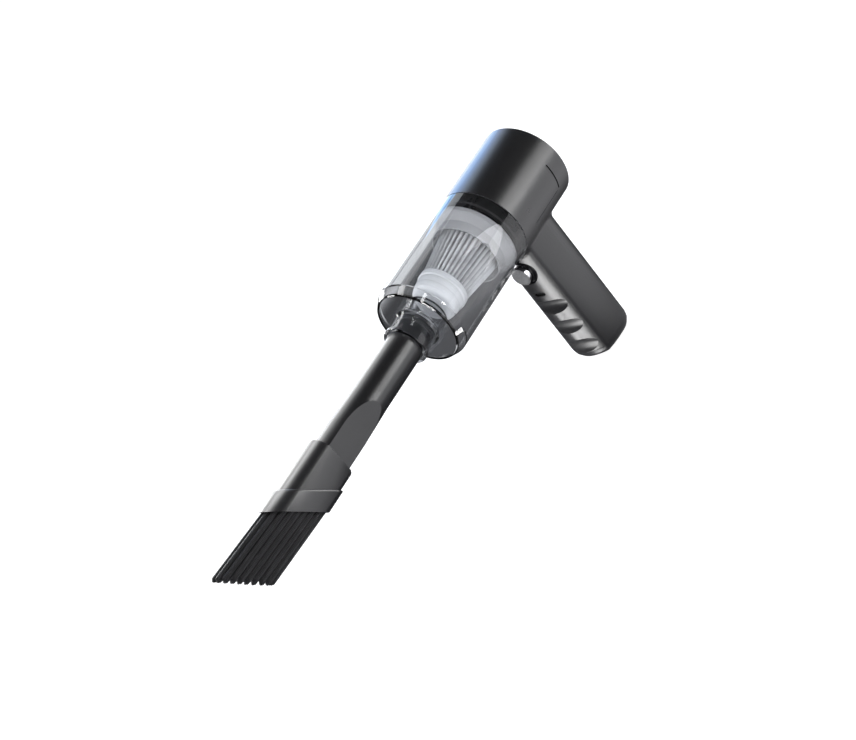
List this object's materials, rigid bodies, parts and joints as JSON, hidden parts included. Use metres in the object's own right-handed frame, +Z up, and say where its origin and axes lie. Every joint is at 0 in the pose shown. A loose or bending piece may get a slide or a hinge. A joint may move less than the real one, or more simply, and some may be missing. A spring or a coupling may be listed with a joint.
{
  "type": "handheld vacuum cleaner",
  "caption": "Pistol-grip handheld vacuum: round motor barrel, clear dust cup with a cone filter, flattened crevice tool and a slip-on brush.",
  "frame": {"origin": "centre of the rear face, on the barrel's axis", "axes": "+X forward along the barrel, towards the nozzle; +Y the vacuum's left side; +Z up, the handle hangs towards -Z"},
  "size_m": [0.3765, 0.063, 0.1585],
  "materials": {
    "charcoal_plastic": "satin",
    "black_plastic": "satin",
    "smoke_clear": "gloss",
    "frosted_clear": "satin",
    "filter_paper": "matte",
    "black_rubber": "matte",
    "steel": "satin",
    "button_chrome": "gloss",
    "board_resin": "satin",
    "cell_wrap": "gloss",
    "wire_cover": "gloss",
    "bristle_nylon": "satin"
  },
  "bodies": {
    "body": {"housing_left": "charcoal_plastic", "housing_right": "charcoal_plastic", "rear_grille": "black_plastic", "cup_spigot": "black_plastic", "cup_seal": "black_rubber", "motor_can": "steel", "motor_end_bell": "black_plastic", "motor_mount": "black_plastic", "shaft_bearings": "steel", "fan_shroud": "black_plastic", "diffuser": "black_plastic", "battery_cell": "cell_wrap", "battery_holder": "black_plastic", "control_board": "board_resin", "power_switch": "black_plastic", "charge_port": "steel", "button_bezel": "black_plastic", "housing_screws": "steel", "motor_wires": "wire_cover"},
    "fan": {"motor_shaft": "steel", "impeller": "charcoal_plastic", "impeller_nut": "steel"},
    "button": {"power_button": "button_chrome", "button_spring": "steel"},
    "cup": {"dust_cup": "smoke_clear"},
    "filter": {"filter_frame": "frosted_clear", "filter_gasket": "black_rubber", "filter_pleats": "filter_paper", "filter_cap": "frosted_clear"},
    "seal": {"nozzle_seal": "black_rubber"},
    "nozzle": {"crevice_nozzle": "charcoal_plastic"},
    "brush": {"brush_sleeve": "charcoal_plastic", "brush_tufts": "bristle_nylon"}
  },
  "joints": [
    {"name": "button_press", "type": "slide", "parent": "body", "child": "button", "axis": [-1, 0, 0], "range_m": [0, 0.0012], "stiffness_N_per_m": 1500, "springref_m": -0.0008, "deforming": ["button_spring"]},
    {"name": "fan_spin", "type": "hinge", "parent": "body", "child": "fan", "pos_m": [0.04, 0, 0], "axis": [1, 0, 0], "continuous": true},
    {"name": "cup_pull", "type": "slide", "parent": "body", "child": "cup", "axis": [1, 0, 0], "range_m": [0, 0.1]},
    {"name": "filter_pull", "type": "slide", "parent": "body", "child": "filter", "axis": [1, 0, 0], "range_m": [0, 0.045]},
    {"name": "nozzle_pull", "type": "slide", "parent": "cup", "child": "seal", "axis": [1, 0, 0], "range_m": [0, 0.04]},
    {"name": "nozzle_turn", "type": "hinge", "parent": "seal", "child": "nozzle", "pos_m": [0.16, 0, 0], "axis": [1, 0, 0], "continuous": true},
    {"name": "brush_pull", "type": "slide", "parent": "nozzle", "child": "brush", "axis": [1, 0, 0], "range_m": [0, 0.06]}
  ],
  "couplings": [
    {"joint": "filter_pull", "follows": "cup_pull", "ratio": 0.45}
  ]
}
